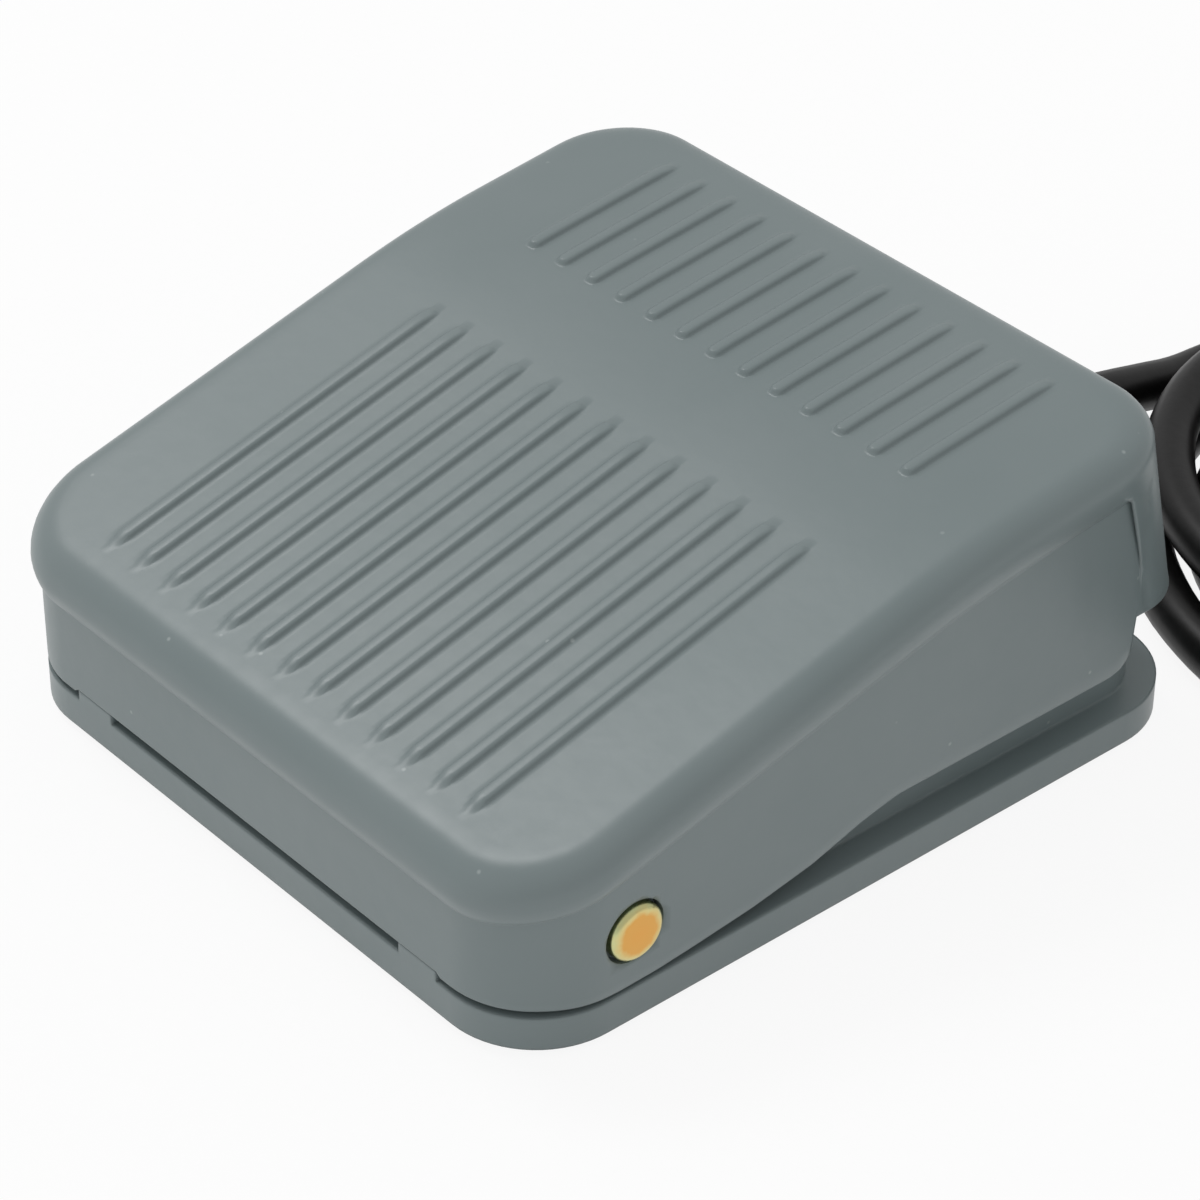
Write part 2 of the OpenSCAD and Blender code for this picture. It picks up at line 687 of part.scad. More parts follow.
// Moving contact blade with its double rivet
module contact_blade() {
    color(copper) {
        translate([-blade_w / 2, rivet_y - rivet_r, blade_z])
            cube([blade_w, blade_pivot_y + 0.4 - rivet_y + rivet_r, blade_t]);
        rod_z(blade_z - rivet_h, blade_z + blade_t + rivet_h, 0, rivet_y, rivet_r);
    }
}

// Flat terminal blade: from its tab below the case up to a height
module strip(y, top) {
    difference() {
        translate([-strip_w / 2, y, tab_z]) cube([strip_w, strip_t, top - tab_z]);
        rod_y(y - 1, y + strip_t + 1, 0, tab_z + 2, 0.7);
    }
}

// Common terminal, whose top edge carries the contact blade
module terminal_common() {
    color(brass) strip(common_y, blade_z - 0.08);
}

// Normally open terminal, below the moving contact
module terminal_open() {
    plate_z = blade_z - rivet_h - blade_drop - contact_gap - rivet_h - 0.4;
    color(brass) {
        strip(open_y, plate_z + 0.4);
        translate([-strip_w / 2, rivet_y - rivet_r, plate_z])
            cube([strip_w, open_y + strip_t - rivet_y + rivet_r, 0.4]);
        rod_z(plate_z + 0.2, plate_z + 0.4 + rivet_h, 0, rivet_y, rivet_r);
    }
}

// Normally closed terminal, above the moving contact
module terminal_closed() {
    plate_z = blade_z + blade_t + rivet_h + contact_gap + rivet_h;
    color(brass) {
        strip(closed_y, plate_z + 0.4);
        translate([-strip_w / 2, closed_y, plate_z])
            cube([strip_w, rivet_y + rivet_r - closed_y, 0.4]);
        rod_z(plate_z - rivet_h, plate_z + 0.2, 0, rivet_y, rivet_r);
    }
}

// Fibre card between the terminals and the metal floor
module insulating_card() {
    color(card_grey) translate([case_x, case_y, z_floor])
        cube([case_t + 2, card_end - case_y, 0.4]);
}

// ---- Adjusting screw ----

// Headless screw with a domed tip, held in the pedal's middle boss
module actuator_screw() {
    color(zinc) translate([0, push_y, screw_tip_z]) difference() {
        union() {
            translate([0, 0, m4_r]) sphere(r = m4_r, $fn = fine);
            translate([0, 0, m4_r]) cylinder(h = act_hole_z - screw_tip_z - m4_r, r = m4_r, $fn = fine);
        }
        translate([-0.4, -m4_r, act_hole_z - screw_tip_z - 0.8]) cube([0.8, 2 * m4_r, 2]);
    }
}

// Thin nut that locks the adjusting screw against the boss
module lock_nut() {
    color(zinc) translate([0, push_y, act_boss_z - m4_nut_t])
        hex_nut(m4_nut_af, m4_nut_t, m4_r + thread_gap);
}

// ---- Wiring and cord ----

// One insulated core from the cord to its terminal
module lead(p, shade) {
    color(shade) sweep(smooth(p, 4), lead_r, 8);
}

// Saddle strap over the cord, screwed to its two posts
module cord_clamp() {
    ear = post_x + post_r - 0.2;
    color(steel) difference() {
        translate([0, clamp_y + clamp_l / 2, 0]) rotate([90, 0, 0]) linear_extrude(clamp_l)
            difference() {
                union() {
                    intersection() {
                        translate([0, cord_z]) circle(r = cord_r + clamp_t, $fn = fine);
                        translate([-ear, post_top]) square([2 * ear, 10]);
                    }
                    translate([-ear, post_top]) square([2 * ear, clamp_t]);
                }
                translate([0, cord_z]) circle(r = cord_r, $fn = fine);
            }
        for (x = [-post_x, post_x])
            rod_z(post_top - 1, post_top + 3, x, clamp_y, m3_clear);
    }
}

// The strap's two screws
module clamp_screws() {
    color(steel) for (x = [-post_x, post_x])
        translate([x, clamp_y, post_top + clamp_t]) pan_screw(m3_r, clamp_t + 2.6);
}

// Rubber sleeve in the outlet, ringed and tapered outside
module strain_relief() {
    in_y = up_rear - upstand_t;
    ring_n = 6;
    step = boot_l / ring_n;
    color(black_rubber) translate([0, 0, cord_z]) rotate([-90, 0, 0]) rotate_extrude($fn = fine)
        polygon(concat([[cord_r, in_y - flange_t], [flange_r, in_y - flange_t], [flange_r, in_y],
                [neck_r, in_y], [neck_r, up_rear], [collar_r, up_rear], [collar_r, up_rear + flange_t]],
            [for (i = [0 : ring_n - 1], c = [[0, 0], [0.62, 0], [0.62, -0.45], [1, -0.45]])
                [4.7 - 1.2 * (i + c[0]) / ring_n + (i < ring_n - 1 ? c[1] : 0),
                    up_rear + flange_t + step * (i + c[0])]],
            [[cord_r, boot_end]]));
}

// Sheathed cord from the clamp inside to the coil on the floor
module cord() {
    color(black_rubber) sweep(smooth(ROUTE, 3), cord_r, 10);
}

// Outer shape of the coil that holds the rest of the cord
module cord_coil() {
    color(black_rubber) translate([COIL_AT[0], COIL_AT[1], 0]) rotate_extrude($fn = fine)
        translate([coil_r, 0.1]) {
            translate([-coil_half_w, 5]) square([2 * coil_half_w, coil_h - 10]);
            translate([-coil_half_w + 5, 0]) square([2 * coil_half_w - 10, coil_h]);
            for (x = [-coil_half_w + 5, coil_half_w - 5], z = [5, coil_h - 5])
                translate([x, z]) circle(r = 5, $fn = 32);
        }
}

// Tie around the coil
module coil_tie() {
    w = 2 * coil_half_w + 2;
    color(black_rubber) translate([COIL_AT[0], COIL_AT[1], coil_h / 2 + 0.1])
        rotate([0, 0, tie_turn]) translate([0, coil_r, 0]) rotate([0, 90, 0])
            linear_extrude(3, center = true) difference() {
                square([coil_h + 0.1, w], center = true);
                square([coil_h - 1.9, w - 2], center = true);
            }
}

// Sheathed end of the cord beyond the coil
module cord_tail() {
    color(black_rubber) sweep(smooth(TAIL, 3), cord_r, 10);
}

// Three insulated cores that leave the cut sheath
module tail_cores() {
    for (i = [0 : 2])
        color([[0.10, 0.10, 0.10], [0.86, 0.86, 0.84], [0.62, 0.10, 0.08]][i])
            rod_y(tail_end[1] - core_len + bare_len, core_start,
                tail_end[0] + (i - 1) * core_pitch, lay_z, lead_r);
}

// Bared and tinned ends of the cores
module core_ends() {
    color(steel) for (i = [0 : 2])
        rod_y(tail_end[1] - core_len, tail_end[1] - core_len + bare_len,
            tail_end[0] + (i - 1) * core_pitch, lay_z, bare_r);
}

base_tray();
pedal_cover();
placed_pin();  // hinge_pin
pin_clips();
rubber_feet();
return_spring(-1);  // return_spring_left
return_spring(1);  // return_spring_right
switch_bracket();
bracket_screws();
switch_case();
switch_cover();
switch_screws();
switch_nuts();
switch_plunger();
switch_lever();
lever_pin();
contact_blade();
terminal_common();
terminal_open();
terminal_closed();
insulating_card();
actuator_screw();
lock_nut();
lead(LEAD_COMMON, [0.1, 0.1, 0.1]);  // lead_common
lead(LEAD_OPEN, [0.86, 0.86, 0.84]);  // lead_open
lead(LEAD_CLOSED, [0.62, 0.1, 0.08]);  // lead_closed
cord_clamp();
clamp_screws();
strain_relief();
cord();
cord_coil();
coil_tie();
cord_tail();
tail_cores();
core_ends();
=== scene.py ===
import math

import bmesh
import bpy
from mathutils import Matrix, Vector


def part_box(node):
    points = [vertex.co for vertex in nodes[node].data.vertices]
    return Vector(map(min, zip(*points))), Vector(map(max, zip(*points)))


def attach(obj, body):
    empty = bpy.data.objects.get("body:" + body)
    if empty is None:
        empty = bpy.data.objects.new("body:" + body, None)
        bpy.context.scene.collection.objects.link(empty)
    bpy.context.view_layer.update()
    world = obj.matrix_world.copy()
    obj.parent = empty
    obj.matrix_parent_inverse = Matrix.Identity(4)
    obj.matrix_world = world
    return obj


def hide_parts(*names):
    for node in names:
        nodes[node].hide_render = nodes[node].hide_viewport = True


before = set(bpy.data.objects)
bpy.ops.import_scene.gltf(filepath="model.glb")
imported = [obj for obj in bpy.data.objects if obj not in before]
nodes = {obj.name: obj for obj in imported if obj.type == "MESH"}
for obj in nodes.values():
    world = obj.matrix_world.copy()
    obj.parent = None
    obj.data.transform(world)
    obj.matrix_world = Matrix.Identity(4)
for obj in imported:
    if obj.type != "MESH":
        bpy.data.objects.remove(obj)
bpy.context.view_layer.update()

MM = 0.001  # the cord, the pin and the cover are drawn in mm, and the rest is in metres
scene = bpy.context.scene

# ---- Camera, floor and light ----
# A small product set: the switch stands on a pale sheet that runs out to white
# behind it, under one large soft lamp to the upper left and a weaker one in front.


def linear(code):
    """Colour of an sRGB hex code as linear RGBA."""
    parts = [int(code[i:i + 2], 16) / 255 for i in (0, 2, 4)]
    return [c / 12.92 if c <= 0.04045 else ((c + 0.055) / 1.055) ** 2.4 for c in parts] + [1.0]


def add(m, kind, settings=None, stops=None, **sockets):
    """Node of a kind with its properties, its inputs set or linked, and a ramp's stops."""
    node = m.node_tree.nodes.new("ShaderNode" + kind)
    for key, value in (settings or {}).items():
        setattr(node, key, value)
    if stops:
        band = node.color_ramp.elements
        while len(band) < len(stops):
            band.new(0.5)
        for element, (place, code) in zip(band, stops):
            element.position = place
            element.color = linear(code)
    for key, value in sockets.items():
        name = int(key[1:]) if key[0] == "i" and key[1:].isdigit() else key.replace("_", " ")
        if isinstance(value, bpy.types.NodeSocket):
            m.node_tree.links.new(value, node.inputs[name])
        else:
            node.inputs[name].default_value = value
    return node


def new_material(name):
    """Node material with nothing in it yet but the object's own coordinates."""
    m = bpy.data.materials.new(name)
    m.use_nodes = True
    m.node_tree.nodes.clear()
    return m, add(m, "TexCoord").outputs["Object"]


turn, height, roll = math.radians(49.17), math.radians(35.30), math.radians(0.37)
stand = (0.2897, -0.2500, 0.2841)
back = Vector((math.sin(turn) * math.cos(height), -math.cos(turn) * math.cos(height), math.sin(height)))
right = Vector((math.cos(turn), math.sin(turn), 0))
up = back.cross(right)
cam_data = bpy.data.cameras.new("camera")
cam_data.sensor_width = 36
cam_data.lens = 129.18
cam_data.clip_start, cam_data.clip_end = 0.01, 20
camera = bpy.data.objects.new("camera", cam_data)
scene.collection.objects.link(camera)
axis_x = math.cos(roll) * right + math.sin(roll) * up
axis_y = -math.sin(roll) * right + math.cos(roll) * up
camera.matrix_world = Matrix((
    (axis_x.x, axis_y.x, back.x, stand[0]), (axis_x.y, axis_y.y, back.y, stand[1]),
    (axis_x.z, axis_y.z, back.z, stand[2]), (0, 0, 0, 1)))
scene.camera = camera
scene.view_settings.view_transform = "Standard"

floor_mesh = bpy.data.meshes.new("floor")
bm = bmesh.new()
bmesh.ops.create_grid(bm, x_segments=1, y_segments=1, size=3)
bm.to_mesh(floor_mesh)
bm.free()
floor = bpy.data.objects.new("floor", floor_mesh)
scene.collection.objects.link(floor)
# Matt white card: it gives the eye a floor that is all but white and keeps a faint soft
# shadow. Its fibre, about 1.4 mm across, stops the shade from lying dead flat.
card, place = new_material("matt_white_card")
fibre = add(card, "TexNoise", Vector=place, Scale=700.0, Detail=2.0)
paper = add(card, "ValToRGB", stops=[(0.3, "f2f2f2"), (0.7, "f6f6f6")], Fac=fibre.outputs["Fac"])
matt = add(card, "BsdfPrincipled", Base_Color=paper.outputs[0], Roughness=0.9, Specular_IOR_Level=0.1)
path = add(card, "LightPath")
seen = add(card, "Math", {"operation": "MAXIMUM"}, i0=path.outputs["Is Camera Ray"],
           i1=path.outputs["Is Glossy Ray"])
seen = add(card, "Math", {"operation": "MAXIMUM"}, i0=seen.outputs[0],
           i1=path.outputs["Is Transmission Ray"])
white_share = 0.9
share = add(card, "Math", {"operation": "MULTIPLY"}, i0=seen.outputs[0], i1=white_share)
glow = add(card, "Emission", Color=(1, 1, 1, 1), Strength=1.0)
both = add(card, "MixShader", i0=share.outputs[0], i1=matt.outputs[0], i2=glow.outputs[0])
add(card, "OutputMaterial", Surface=both.outputs[0])
floor_mesh.materials.append(card)

world = bpy.data.worlds.new("studio")
scene.world = world
world.use_nodes = True
world.node_tree.nodes.clear()
path = add(world, "LightPath")
light = add(world, "Background", Color=(1, 1, 1, 1), Strength=0.63)
behind = add(world, "Background", Color=(1, 1, 1, 1), Strength=1.0)
sky = add(world, "MixShader", i0=path.outputs["Is Camera Ray"], i1=light.outputs[0],
          i2=behind.outputs[0])
add(world, "OutputWorld", Surface=sky.outputs[0])


def softbox(name, place, aim, size, power):
    """Square area lamp that faces a point."""
    data = bpy.data.lights.new(name, "AREA")
    data.shape = "SQUARE"
    data.size = size
    data.energy = power
    lamp = bpy.data.objects.new(name, data)
    lamp.location = place
    lamp.rotation_mode = "QUATERNION"
    lamp.rotation_quaternion = (Vector(place) - Vector(aim)).to_track_quat("Z", "Y")
    scene.collection.objects.link(lamp)


softbox("key_lamp", (-0.75, -0.1, 1.2), (0, 0, 0.02), 0.5, 6.0)
softbox("fill_lamp", (-0.2, -0.95, 0.4), (0, 0, 0.02), 0.9, 0.5)

# ---- Cord: three-core lead in a black rubber sheath ----
# It is clamped inside the base, leaves the toe end through the strain relief,
# drops to the floor and is wound into a coil. The sheath is extruded, slightly shiny.
cord_d = 6 * MM
clamp_z, lay_z, layer_h, tie_z = 7.9, 3.1, 6.1, 8.8
exit_run = [(0, 20, clamp_z), (0, 34, clamp_z), (0, 48, clamp_z), (0, 60, clamp_z),
            (0, 70, clamp_z), (0, 78, 7), (0, 86, 5.2), (0, 93, 3.6)]
tail_run = [(98.6, 99, tie_z), (100.4, 89.5, 7), (101, 80, 4), (100.6, 70, lay_z),
            (99, 58, lay_z), (98, 46, lay_z), (98, 36, lay_z)]
coil_mid, coil_r = (51.5, 98.5), 51.5
# Start and end of each change of the winding, in degrees, and its radius before and after
windings = [(0, 90, coil_r, 45), (360, 470, 45, 37.5), (720, 830, 37.5, 31.5),
            (1080, 1190, 31.5, 25.5), (1690, 1800, 25.5, 31.5), (2050, 2160, 31.5, 37.5),
            (2410, 2520, 37.5, 45)]
climb, coil_end, coil_step = (1380, 1500), 2688, 12


def eased(a, b, t):
    """0 before a, 1 after b, smooth between."""
    t = min(max((t - a) / (b - a), 0), 1)
    return t * t * (3 - 2 * t)


coil_run = []
for angle in range(0, coil_end + 1, coil_step):
    r = coil_r
    for a, b, r0, r1 in windings:
        if angle >= a:
            r = r0 + (r1 - r0) * eased(a, b, angle)
    level = lay_z + layer_h * eased(*climb, angle)
    coil_run.append((coil_mid[0] - r * math.cos(math.radians(angle)),
                     coil_mid[1] + r * math.sin(math.radians(angle)), level))
cord_curve = bpy.data.curves.new("cord_sheath", "CURVE")
cord_curve.dimensions = "3D"
cord_curve.bevel_depth = cord_d / 2
cord_curve.bevel_resolution = 6
cord_curve.resolution_u = 4
cord_curve.use_fill_caps = True
spline = cord_curve.splines.new("BEZIER")
run = exit_run + coil_run + tail_run
spline.bezier_points.add(len(run) - 1)
for knot, point in zip(spline.bezier_points, run):
    knot.co = Vector(point) * MM
    knot.handle_left_type = knot.handle_right_type = "AUTO"
cord_sheath = bpy.data.objects.new("cord_sheath", cord_curve)
scene.collection.objects.link(cord_sheath)
# Extruded rubber: near black, with a broken soft gloss that shows its roundness. The
# mottle is about 1 mm, coarser than real, and the worn patches about 8 mm.
rubber, place = new_material("extruded_rubber")
mottle = add(rubber, "TexNoise", Vector=place, Scale=900.0, Detail=3.0)
tone = add(rubber, "ValToRGB", stops=[(0.35, "080707"), (0.7, "100f0f")], Fac=mottle.outputs["Fac"])
worn = add(rubber, "TexNoise", Vector=place, Scale=120.0, Detail=2.0)
gloss = add(rubber, "MapRange", Value=worn.outputs["Fac"], To_Min=0.34, To_Max=0.5)
bump = add(rubber, "Bump", Strength=0.15, Distance=0.0001, Height=mottle.outputs["Fac"])
shader = add(rubber, "BsdfPrincipled", Base_Color=tone.outputs[0], Roughness=gloss.outputs[0],
             Normal=bump.outputs[0], Specular_IOR_Level=0.3)
add(rubber, "OutputMaterial", Surface=shader.outputs[0])
cord_curve.materials.append(rubber)
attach(cord_sheath, "base")
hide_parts("cord", "cord_coil", "cord_tail")

# ---- Base: cast tray ----
# A zinc die casting with a ledge, an upstand wall, hinge ears and spring cups, cast
# in one. It has a satin blue-grey baked enamel with small pale dust specks.


def enamel(name, round_edges):
    """Satin baked enamel: even blue-grey, fine ripple, a few pale specks."""
    # It gives the eye a calm, slightly clouded paint (26 mm), an orange peel of 2.4 mm in
    # gloss and relief, and dust specks of under 0.5 mm that are some way apart.
    m, place = new_material(name)
    cloud = add(m, "TexNoise", Vector=place, Scale=38.0, Detail=2.0)
    tone = add(m, "ValToRGB", stops=[(0.3, "758182"), (0.7, "7a8586")], Fac=cloud.outputs["Fac"])
    dust = add(m, "TexVoronoi", Vector=place, Scale=260.0)
    grain = add(m, "TexNoise", Vector=place, Scale=150.0, Detail=0.0)
    near = add(m, "MapRange", Value=dust.outputs["Distance"], From_Min=0.03, From_Max=0.08,
               To_Min=1.0, To_Max=0.0)
    few = add(m, "MapRange", Value=grain.outputs["Fac"], From_Min=0.66, From_Max=0.7,
              To_Min=0.0, To_Max=0.35)
    fleck = add(m, "Math", {"operation": "MULTIPLY"}, i0=near.outputs[0], i1=few.outputs[0])
    tint = add(m, "Mix", {"data_type": "RGBA"}, i0=fleck.outputs[0], i6=tone.outputs[0],
               i7=linear("c4cccb"))
    peel = add(m, "TexNoise", Vector=place, Scale=420.0, Detail=2.0)
    sheen = add(m, "MapRange", Value=peel.outputs["Fac"], To_Min=0.32, To_Max=0.42)
    bump = add(m, "Bump", Strength=0.12, Distance=0.0002, Height=peel.outputs["Fac"])
    if round_edges:
        edge = add(m, "Bevel", {"samples": 6}, Radius=0.0006)
        m.node_tree.links.new(edge.outputs[0], bump.inputs["Normal"])
    shader = add(m, "BsdfPrincipled", Base_Color=tint.outputs[2], Roughness=sheen.outputs[0],
                 Normal=bump.outputs[0])
    add(m, "OutputMaterial", Surface=shader.outputs[0])
    return m


def finish_nodes(material, *names):
    """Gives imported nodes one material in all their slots."""
    for name in names:
        mesh = nodes[name].data
        mesh.materials.clear()
        mesh.materials.append(material)


finish_nodes(enamel("baked_enamel_tray", True), "base_tray")

# ---- Rubber feet ----
# Four round pads of black rubber, pressed into seats under the tray's corners.
# Their faces are matt and a little dusty.


def moulded(name, roughness, grain, detail, stops, strength, depth, harsh=0.5):
    """Moulded or pressed surface: one grain in two near tones, gloss and low relief."""
    m, place = new_material(name)
    mottle = add(m, "TexNoise", Vector=place, Scale=grain, Detail=detail, Roughness=harsh)
    tone = add(m, "ValToRGB", stops=stops, Fac=mottle.outputs["Fac"])
    bump = add(m, "Bump", Strength=strength, Distance=depth, Height=mottle.outputs["Fac"])
    shader = add(m, "BsdfPrincipled", Base_Color=tone.outputs[0], Roughness=roughness,
                 Normal=bump.outputs[0])
    add(m, "OutputMaterial", Surface=shader.outputs[0])
    return m


# Dusty rubber: matt black that pale dust of about 2 mm, coarser than real, greys over.
pad = moulded("dusty_moulded_rubber", 0.7, 500.0, 4.0, [(0.4, "131313"), (0.75, "2a2928")],
              0.3, 0.0002)
finish_nodes(pad, "rubber_feet")

# ---- Strain relief and coil tie ----
# The sleeve is moulded in soft black rubber and grips the cord in the toe wall. The
# tie round the coil is a band of the same rubber. It gives the eye a duller black than
# the cord's, with the 1.5 mm skin of a rough mould.
sleeve = moulded("moulded_rubber", 0.48, 650.0, 3.0, [(0.35, "101010"), (0.7, "1b1a1a")],
                 0.2, 0.00015)
finish_nodes(sleeve, "strain_relief", "coil_tie")

# ---- Leads, tail cores and bare ends ----
# Each core is tinned copper in coloured plastic: white to the common terminal, black
# to the open one and red to the closed one. At the tail the three are stripped bare.


def insulation(name, dark, light, split_x=None):
    """Core insulation; with a split, red and black on its sides and this colour between."""
    # It gives the eye clean glossy plastic and a faint print of the strands, every 2.4 mm.
    m, place = new_material(name)
    strand = add(m, "TexWave", {"bands_direction": "DIAGONAL"}, Vector=place, Scale=260.0,
                 Distortion=1.0)
    tone = add(m, "ValToRGB", stops=[(0.2, dark), (0.8, light)], Fac=strand.outputs["Fac"]).outputs[0]
    if split_x is not None:
        across = add(m, "SeparateXYZ", Vector=place).outputs[0]
        first, last = [add(m, "Math", {"operation": "GREATER_THAN"}, i0=across, i1=x).outputs[0]
                       for x in (split_x - core_gap, split_x + core_gap)]
        tone = add(m, "Mix", {"data_type": "RGBA"}, i0=first, i6=linear("931d16"), i7=tone).outputs[2]
        tone = add(m, "Mix", {"data_type": "RGBA"}, i0=last, i6=tone, i7=linear("141414")).outputs[2]
    bump = add(m, "Bump", Strength=0.1, Distance=0.0001, Height=strand.outputs["Fac"])
    shader = add(m, "BsdfPrincipled", Base_Color=tone, Roughness=0.3, Normal=bump.outputs[0])
    add(m, "OutputMaterial", Surface=shader.outputs[0])
    return m


core_gap = 1 * MM
finish_nodes(insulation("white_core_plastic", "d2d2cc", "dedfd9"), "lead_common")
finish_nodes(insulation("black_core_plastic", "101010", "191919"), "lead_open")
finish_nodes(insulation("red_core_plastic", "8c1a14", "9c231b"), "lead_closed")
# The three tail cores lie side by side, so their colours follow their place across.
tail_x = (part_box("tail_cores")[0][0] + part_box("tail_cores")[1][0]) / 2
finish_nodes(insulation("three_core_plastic", "d2d2cc", "dedfd9", tail_x), "tail_cores")
# Tinned copper: a silvery twist of strands, drawn as stripes every 0.7 mm.
tin, place = new_material("tinned_copper_strands")
lay = add(tin, "TexWave", {"bands_direction": "DIAGONAL"}, Vector=place, Scale=900.0, Distortion=0.5)
tone = add(tin, "ValToRGB", stops=[(0.2, "8f8a82"), (0.8, "cfcbc4")], Fac=lay.outputs["Fac"])
bump = add(tin, "Bump", Strength=0.6, Distance=0.0001, Height=lay.outputs["Fac"])
shader = add(tin, "BsdfPrincipled", Base_Color=tone.outputs[0], Roughness=0.3, Metallic=1.0,
             Normal=bump.outputs[0])
add(tin, "OutputMaterial", Surface=shader.outputs[0])
finish_nodes(tin, "core_ends")

# ---- Steel bracket, clamp and screws ----
# The bracket and the cord clamp are bent from bright rolled strip, and the screws,
# nuts and clips are cold-formed steel with a thin bright zinc plate.


def steel(name, dark, light, roughness, drawn):
    """Bright metal with a polish in one direction: its scale along each axis, per metre."""
    # It gives the eye a shine that breaks up along fine lines. They run to about 3 mm long
    # and down to 0.25 mm wide, coarser than real polishing marks.
    m, place = new_material(name)
    stretch = add(m, "Mapping", Vector=place, Scale=drawn)
    grain = add(m, "TexNoise", Vector=stretch.outputs[0], Scale=1.0, Detail=3.0)
    tone = add(m, "ValToRGB", stops=[(0.3, dark), (0.7, light)], Fac=grain.outputs["Fac"])
    gloss = add(m, "MapRange", Value=grain.outputs["Fac"], To_Min=roughness - 0.07,
                To_Max=roughness + 0.1)
    bump = add(m, "Bump", Strength=0.12, Distance=0.0001, Height=grain.outputs["Fac"])
    shader = add(m, "BsdfPrincipled", Base_Color=tone.outputs[0], Roughness=gloss.outputs[0],
                 Metallic=1.0, Normal=bump.outputs[0])
    add(m, "OutputMaterial", Surface=shader.outputs[0])
    return m


finish_nodes(steel("rolled_bright_strip", "a9abad", "bcbec0", 0.3, (4000, 300, 300)),
             "switch_bracket", "cord_clamp")
finish_nodes(steel("zinc_plated_steel", "a6aaae", "c2c6ca", 0.26, (900, 900, 900)),
             "bracket_screws", "clamp_screws", "switch_screws", "switch_nuts")

# ---- Snap switch: case, cover and card ----
# The case and its cover are moulded in brown-black phenolic with a mineral filler,
# and a grey fibre card keeps the terminals off the metal floor.
# Filled phenolic: dark brown with a satin gloss, a speck of filler under 1 mm and
# 11 mm clouds where the moulding compound flowed.
phenolic, place = new_material("filled_phenolic")
filler = add(phenolic, "TexNoise", Vector=place, Scale=1500.0, Detail=4.0)
flow = add(phenolic, "TexNoise", Vector=place, Scale=90.0, Detail=1.0)
blend = add(phenolic, "Math", {"operation": "ADD"}, i0=filler.outputs["Fac"], i1=flow.outputs["Fac"])
half = add(phenolic, "Math", {"operation": "MULTIPLY"}, i0=blend.outputs[0], i1=0.5)
tone = add(phenolic, "ValToRGB", stops=[(0.4, "17120f"), (0.62, "2a211c")], Fac=half.outputs[0])
bump = add(phenolic, "Bump", Strength=0.1, Distance=0.0001, Height=filler.outputs["Fac"])
shader = add(phenolic, "BsdfPrincipled", Base_Color=tone.outputs[0], Roughness=0.34,
             Normal=bump.outputs[0])
add(phenolic, "OutputMaterial", Surface=shader.outputs[0])
finish_nodes(phenolic, "switch_case", "switch_cover")
# Vulcanised fibre: flat grey like hard paper, with a fibrous fleck of about 0.9 mm.
fibre_card = moulded("vulcanised_fibre", 0.75, 1100.0, 5.0, [(0.35, "5f645e"), (0.65, "787d76")],
                     0.35, 0.0001, harsh=0.7)
finish_nodes(fibre_card, "insulating_card")

# ---- Snap switch: plunger, lever and contacts ----
# A red moulded button sits over a spring-copper blade. Three brass strips are the
# terminals, and a steel lever on a thin pin carries the pedal's push to the button.
# Red plastic: an even, glossy red with hardly any swirl in it, about 2.5 mm across.
button = moulded("moulded_red_plastic", 0.3, 400.0, 2.0, [(0.3, "9e241b"), (0.7, "b02c21")],
                 0.08, 0.0001)
finish_nodes(button, "switch_plunger")
finish_nodes(steel("stamped_brass", "b98f45", "d3aa5e", 0.3, (500, 500, 3000)),
             "terminal_common", "terminal_open", "terminal_closed")
finish_nodes(steel("spring_copper", "a9683f", "c17e52", 0.28, (3000, 400, 400)), "contact_blade")
finish_nodes(steel("spring_strip", "8f9194", "a9abae", 0.28, (3000, 400, 400)),
             "switch_lever", "lever_pin")

# ---- Return springs ----
# Two compression springs of patented wire stand in cups on the tray. The wire is dull
# and shows fine lines from drawing.
finish_nodes(steel("drawn_spring_wire", "6d6e70", "8f9193", 0.34, (1500, 1500, 250)),
             "return_spring_left", "return_spring_right")

# ---- Hinge pin, clips and adjusting screw ----
# The pin is turned steel with yellow passivated zinc, which is orange on the face and
# greener on the rounded rim. Clips of spring steel hold it between the ears.
pin_low, pin_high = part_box("hinge_pin")
pin_axis = ((pin_low[1] + pin_high[1]) / 2, (pin_low[2] + pin_high[2]) / 2)
# Yellow passivated zinc: it gives the eye an orange face that turns to a pale yellow-green
# in rings towards the rim, as the film grows thinner, with a haze of about 1.4 mm.
rim_r = 3.4 * MM
passivate, place = new_material("yellow_passivated_zinc")
face = add(passivate, "Mapping", Vector=place, Location=(0, -pin_axis[0], -pin_axis[1]),
           Scale=(0, 1, 1))
reach = add(passivate, "VectorMath", {"operation": "LENGTH"}, i0=face.outputs[0])
haze = add(passivate, "TexNoise", Vector=place, Scale=700.0, Detail=3.0)
drift = add(passivate, "MapRange", Value=haze.outputs["Fac"], To_Min=-0.0006, To_Max=0.0006)
ring = add(passivate, "Math", {"operation": "ADD"}, i0=reach.outputs["Value"], i1=drift.outputs[0])
hue = add(passivate, "MapRange", Value=ring.outputs[0], From_Min=0.0, From_Max=rim_r)
tone = add(passivate, "ValToRGB", stops=[(0.0, "dda355"), (0.62, "daa558"), (0.78, "d8c383"),
           (1.0, "c9cf9a")], Fac=hue.outputs[0])
bump = add(passivate, "Bump", Strength=0.15, Distance=0.0001, Height=haze.outputs["Fac"])
shader = add(passivate, "BsdfPrincipled", Base_Color=tone.outputs[0], Roughness=0.3, Metallic=1.0,
             Normal=bump.outputs[0])
add(passivate, "OutputMaterial", Surface=shader.outputs[0])


